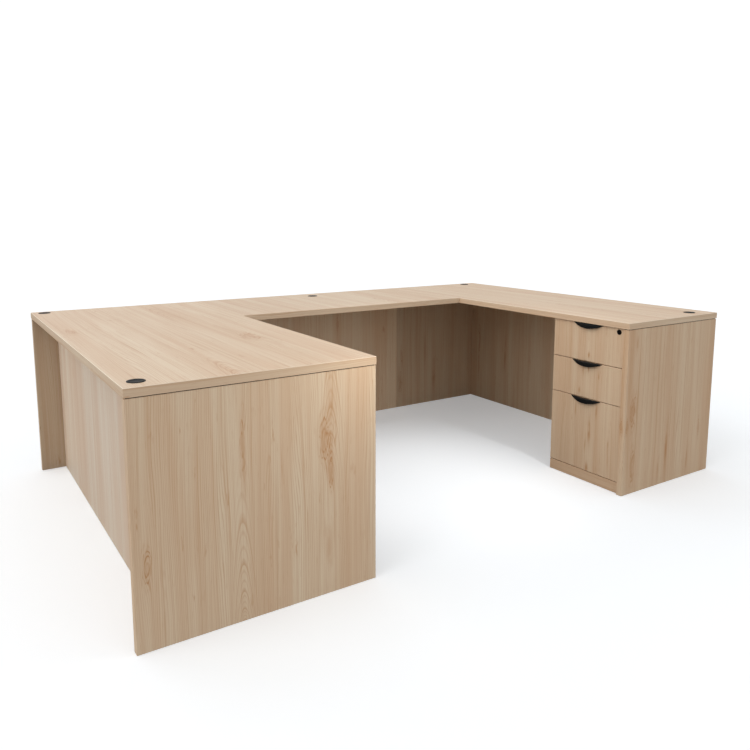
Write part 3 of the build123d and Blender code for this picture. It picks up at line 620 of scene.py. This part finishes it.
# Black moulded pulls: a bowed lip that hangs from the top edge of each front, open below for the
# fingers, with a rounded brow and a flange behind that is screwed to the front.
PULL_WALL = 0.0022
PULL_FLANGE = 0.010
FLANGE_SHARE = 0.9          # of the drop, at most, near the tips
PULL_BROW = 0.0035
PULL_RIM = 0.0005
PULL_REACH = 0.985          # share of the half width that the moulding fills
FLANGE_ENDS = 0.2           # shares of the way round, from the flange's foot to the lip
SHELF_ENDS = 0.4
BROW_ENDS = 0.7
THIN_END = 0.45             # share of the bow or the drop that the brow may take near the tips
STAND_OFF = 0.0001
CLOUDS_PER_METRE = 60.0
CLOUD_SHADES = (0.8, 1.3)
CLOUD_ROUGHNESS = 0.12
PEBBLES_PER_METRE = 2200.0
PEBBLE_DEPTH = 0.0002
PLASTIC_SHINE = 0.12


def soft_shade(bm, sharp_over=math.radians(32)):
    for face in bm.faces:
        face.smooth = True
    for edge in bm.edges:
        if len(edge.link_faces) == 2:
            edge.smooth = edge.calc_face_angle() < sharp_over


def piece_from(bm, name, paint, body, nodes):
    """Link a finished mesh as a piece that stands for CAD nodes and rides on a body."""
    soft_shade(bm)
    mesh = bpy.data.meshes.new(name)
    bm.to_mesh(mesh)
    bm.free()
    mesh.materials.append(paint)
    piece = bpy.data.objects.new(name, mesh)
    bpy.context.scene.collection.objects.link(piece)
    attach(piece, body)
    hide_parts(*nodes)
    return piece


def moulded_black(name, level, rough, pebble):
    """Black plastic: a faint cloudiness, and the fine pebbled skin of the mould."""
    paint = bpy.data.materials.new(name)
    paint.use_nodes = True
    tree = paint.node_tree
    place = join(tree, "ShaderNodeTexCoord").outputs["Object"]
    wires = {"Vector": place, "Scale": CLOUDS_PER_METRE, "Detail": 3.0}
    cloud = join(tree, "ShaderNodeTexNoise", wires).outputs["Fac"]
    wires = {"Vector": place, "Scale": PEBBLES_PER_METRE, "Detail": 1.0}
    grain = join(tree, "ShaderNodeTexNoise", wires).outputs["Fac"]
    dark, light = [(share * level, share * level, share * level, 1) for share in CLOUD_SHADES]
    skin = tree.nodes["Principled BSDF"]
    tree.links.new(mix(tree, cloud, dark, light), skin.inputs["Base Color"])
    wear = calc(tree, "ADD", product(tree, cloud, CLOUD_ROUGHNESS), rough - CLOUD_ROUGHNESS / 2)
    tree.links.new(wear, skin.inputs["Roughness"])
    skin.inputs["Specular IOR Level"].default_value = PLASTIC_SHINE
    wires = {"Height": grain, "Strength": pebble, "Distance": PEBBLE_DEPTH}
    tree.links.new(join(tree, "ShaderNodeBump", wires).outputs[0], skin.inputs["Normal"])
    return paint


def arc_height(share, half, rise):
    """Height of a circular arc above its chord, at a share of the half chord."""
    radius = (half * half + rise * rise) / (2 * rise)
    return math.sqrt(radius * radius - (share * half) ** 2) - (radius - rise)


def pull_section(way_round, bow, drop):
    """How far the moulding stands out from the front and hangs down, part of the way round it."""
    brow = min(PULL_BROW, THIN_END * bow, THIN_END * drop)
    if way_round < FLANGE_ENDS:
        flange = min(PULL_FLANGE, FLANGE_SHARE * drop)
        return STAND_OFF, flange * (1 - way_round / FLANGE_ENDS)
    if way_round < SHELF_ENDS:
        return (bow - brow) * (way_round - FLANGE_ENDS) / (SHELF_ENDS - FLANGE_ENDS), 0.0
    if way_round < BROW_ENDS:
        turn = (way_round - SHELF_ENDS) / (BROW_ENDS - SHELF_ENDS) * math.pi / 2
        return bow - brow + brow * math.sin(turn), brow * (1 - math.cos(turn))
    return bow, brow + (drop - brow) * (way_round - BROW_ENDS) / (1 - BROW_ENDS)


def pull(drawer):
    node = f"{drawer}_drawer_pull"
    low, high = corners(node)
    half = (high[1] - low[1]) / 2
    middle = (high[1] + low[1]) / 2
    bm = bmesh.new()
    bmesh.ops.create_grid(bm, x_segments=44, y_segments=15, size=1.0)
    for vert in bm.verts:
        share = vert.co.x * PULL_REACH
        bow = arc_height(share, half, high[0] - low[0])
        drop = arc_height(share, half, high[2] - low[2])
        out, down = pull_section((vert.co.y + 1) / 2, bow, drop)
        vert.co = (DRAWER_FACE - max(out, STAND_OFF), middle + share * half, high[2] - down)
    bmesh.ops.recalc_face_normals(bm, faces=bm.faces)
    front = max(bm.faces, key=lambda face: -face.calc_center_median().x)
    if front.normal.x > 0:
        bmesh.ops.reverse_faces(bm, faces=bm.faces)
    piece = piece_from(
        bm, f"{drawer}_pull_moulding", pull_black, f"{drawer}_drawer", [node]
    )
    wall = piece.modifiers.new("wall", "SOLIDIFY")
    wall.thickness = PULL_WALL
    wall.offset = -1.0
    wall.use_even_offset = False
    soft = piece.modifiers.new("soft_rim", "BEVEL")
    soft.width = PULL_RIM
    soft.segments = 2
    soft.limit_method = "ANGLE"
    soft.angle_limit = math.radians(50)


pull_black = moulded_black("pull_black", 0.008, 0.45, 0.12)
for drawer in DRAWERS:
    pull(drawer)


# Cable outlets: a black flanged liner in each hole and a lift-out cap, its middle dished a little
# below a narrow rim and worn a shade paler than the flange. Both are turned from half sections,
# given as radius and height in millimetres from the top of the rim.
OUTLETS = ("desk_near", "desk_far", "bridge", "credenza_far", "credenza_near")
STEPS_ROUND = 56
CAP_PROFILE = [
    (0.0, -0.45),
    (17.2, -0.45),
    (17.9, -0.15),
    (18.4, 0.0),
    (20.6, 0.0),
    (21.0, -0.15),
    (21.2, -0.6),
    (21.2, -2.4),
    (19.7, -2.4),
    (19.7, -6.2),
    (19.5, -6.4),
    (18.5, -6.4),
    (18.3, -6.2),
    (18.3, -2.7),
    (0.0, -2.7),
]
LINER_PROFILE = [
    (21.5, -2.4),
    (21.5, -0.2),
    (21.8, 0.0),
    (23.8, 0.0),
    (24.6, -0.35),
    (25.0, -1.0),
    (25.0, -1.6),
    (21.98, -1.6),
    (21.98, -23.6),
    (21.6, -24.0),
    (20.4, -24.0),
    (20.0, -23.6),
    (20.0, -2.4),
]


def turned(bm, profile, outlet, closed):
    """Spin a half section about the upright line through an outlet."""
    low, high = corners(f"{outlet}_outlet_cap")
    start = Vector(((low[0] + high[0]) / 2, (low[1] + high[1]) / 2, high[2]))
    verts = [bm.verts.new(start + Vector((r / 1000, 0, z / 1000))) for r, z in profile]
    edges = [bm.edges.new(pair) for pair in zip(verts, verts[1:])]
    if closed:
        edges.append(bm.edges.new((verts[-1], verts[0])))
    bmesh.ops.spin(
        bm,
        geom=verts + edges,
        cent=start,
        axis=(0, 0, 1),
        dvec=(0, 0, 0),
        angle=2 * math.pi,
        steps=STEPS_ROUND,
        use_merge=True,
        use_duplicate=False,
    )


def close_seams(bm):
    bmesh.ops.remove_doubles(bm, verts=bm.verts, dist=1e-6)
    bmesh.ops.recalc_face_normals(bm, faces=bm.faces)


cap_black = moulded_black("cap_black", 0.014, 0.55, 0.18)
liner_black = moulded_black("liner_black", 0.008, 0.45, 0.15)
liners = bmesh.new()
for outlet in OUTLETS:
    turned(liners, LINER_PROFILE, outlet, closed=True)
close_seams(liners)
piece_from(liners, "outlet_liners", liner_black, "desk", ["cable_outlet_liners"])
for outlet in OUTLETS:
    cap = bmesh.new()
    turned(cap, CAP_PROFILE, outlet, closed=False)
    close_seams(cap)
    piece_from(cap, f"{outlet}_lid", cap_black, f"{outlet}_cap", [f"{outlet}_outlet_cap"])


# Lock: a die-cast barrel and plug, plated black, with a satin face. The barrel's flange sits on
# the upper drawer's front, and the plug turns in it with the key.
lock_black = moulded_black("lock_black", 0.014, 0.24, 0.03)
lock_black.node_tree.nodes["Principled BSDF"].inputs["Metallic"].default_value = 0.6
finish_node("lock_barrel", lock_black)
finish_node("lock_plug", lock_black)


# Drawer boxes: boards wrapped in a pale maple film, grain lengthwise, and thin hardboard bottoms
# with the mottled pressed-fibre look of the pedestal's back.
BOX_TONE = (1.08, 1.08, 1.08)
BLOTCH_LIGHT = (0.50, 0.34, 0.19, 1)
BLOTCH_DEEP = (0.58, 0.41, 0.25, 1)
BLOTCHES_PER_METRE = 12.0
FIBRE_SPECK = (0.55, 0.75, 0.5, (0.30, 0.18, 0.09, 1))
FIBRES_PER_METRE = 700.0
FIBRE_ROUGHNESS = 0.3
FIBRE_RELIEF = 0.15
FIBRE_DEPTH = 0.0004
BOARD_ROUGHNESS = 0.40


def hardboard(name):
    paint = bpy.data.materials.new(name)
    paint.use_nodes = True
    tree = paint.node_tree
    place = join(tree, "ShaderNodeTexCoord").outputs["Object"]
    wires = {"Vector": place, "Scale": FIBRES_PER_METRE, "Detail": 4.0}
    fibre = join(tree, "ShaderNodeTexNoise", wires).outputs["Fac"]
    wires = {"Vector": place, "Scale": BLOTCHES_PER_METRE, "Detail": 2.0}
    blotch = join(tree, "ShaderNodeTexNoise", wires).outputs["Fac"]
    colour = wash(tree, mix(tree, blotch, BLOTCH_LIGHT, BLOTCH_DEEP), fibre, FIBRE_SPECK)
    skin = tree.nodes["Principled BSDF"]
    tree.links.new(colour, skin.inputs["Base Color"])
    sheen = calc(tree, "ADD", product(tree, fibre, FIBRE_ROUGHNESS), BOARD_ROUGHNESS)
    tree.links.new(sheen, skin.inputs["Roughness"])
    wires = {"Height": fibre, "Strength": FIBRE_RELIEF, "Distance": FIBRE_DEPTH}
    tree.links.new(join(tree, "ShaderNodeBump", wires).outputs[0], skin.inputs["Normal"])
    return paint


box_side_maple = maple("box_side_maple", "X", 103.0, tone=BOX_TONE)
box_end_maple = maple("box_end_maple", "Y", 107.0, tone=BOX_TONE)
pressed_board = hardboard("pressed_board")
finish_node("pedestal_back", pressed_board)
for drawer in DRAWERS:
    finish_node(f"{drawer}_drawer_sides", box_side_maple)
    finish_node(f"{drawer}_drawer_inner_ends", box_end_maple)
    finish_node(f"{drawer}_drawer_bottom", pressed_board)


# Steelwork: telescopic slides, folder rails, brackets, plates, screws and the lock's cam, rolled
# or pressed from sheet and zinc plated, with rolling marks and a faint spangle.
ZINC_DULL = (0.60, 0.62, 0.64, 1)
ZINC_BRIGHT = (0.70, 0.71, 0.72, 1)
ZINC_MARK = (0.52, 0.53, 0.55, 1)
ROLLING_MARKS = (3.3, 900, 6.0, 2.0, 0.5)
MARK_SHARE = 0.4
MARK_ROUGHNESS = 0.2
MARK_RELIEF = 0.08
MARK_DEPTH = 0.0003
SPANGLES_PER_METRE = 260.0
SPANGLE_SHARE = 0.5
PRESSED_NODES = (
    "lock_cam",
    "lock_keeper",
    "angle_brackets",
    "joining_plates",
    "wood_screws",
    "cam_bolts",
    "cam_fittings",
)


def zinc_plate(name, grain, rough):
    paint = bpy.data.materials.new(name)
    paint.use_nodes = True
    tree = paint.node_tree
    place = join(tree, "ShaderNodeTexCoord").outputs["Object"]
    axis = list(join(tree, "ShaderNodeSeparateXYZ", {0: place}).outputs)
    along = axis.pop("XYZ".index(grain))
    marks = streaks(tree, calc(tree, "ADD", *axis), along, 0.0, ROLLING_MARKS)
    wires = {"Vector": place, "Scale": SPANGLES_PER_METRE}
    spangle = join(tree, "ShaderNodeTexVoronoi", wires).outputs["Color"]
    value = join(tree, "ShaderNodeSeparateColor", {0: spangle}).outputs[0]
    colour = mix(tree, product(tree, value, SPANGLE_SHARE), ZINC_DULL, ZINC_BRIGHT)
    colour = mix(tree, product(tree, marks, MARK_SHARE), colour, ZINC_MARK)
    skin = tree.nodes["Principled BSDF"]
    tree.links.new(colour, skin.inputs["Base Color"])
    skin.inputs["Metallic"].default_value = 1.0
    sheen = calc(tree, "ADD", product(tree, marks, MARK_ROUGHNESS), rough - MARK_ROUGHNESS / 2)
    tree.links.new(sheen, skin.inputs["Roughness"])
    wires = {"Height": marks, "Strength": MARK_RELIEF, "Distance": MARK_DEPTH}
    tree.links.new(join(tree, "ShaderNodeBump", wires).outputs[0], skin.inputs["Normal"])
    return paint


rolled_zinc = zinc_plate("rolled_zinc", "X", 0.32)
pressed_zinc = zinc_plate("pressed_zinc", "Z", 0.40)
for drawer in DRAWERS:
    finish_node(f"{drawer}_slide_middle_members", rolled_zinc)
    finish_node(f"{drawer}_slide_drawer_members", rolled_zinc)
finish_node("cabinet_slide_members", rolled_zinc)
finish_node("file_hanger_rails", rolled_zinc)
for node in PRESSED_NODES:
    finish_node(node, pressed_zinc)


# Dowels: beech pegs, left raw, that line the boards up while the cam fittings and brackets
# draw them together.
finish_node("dowels", maple("beech", "X", 131.0, tone=(1.0, 0.95, 0.88), rough=0.6, shine=0.2))
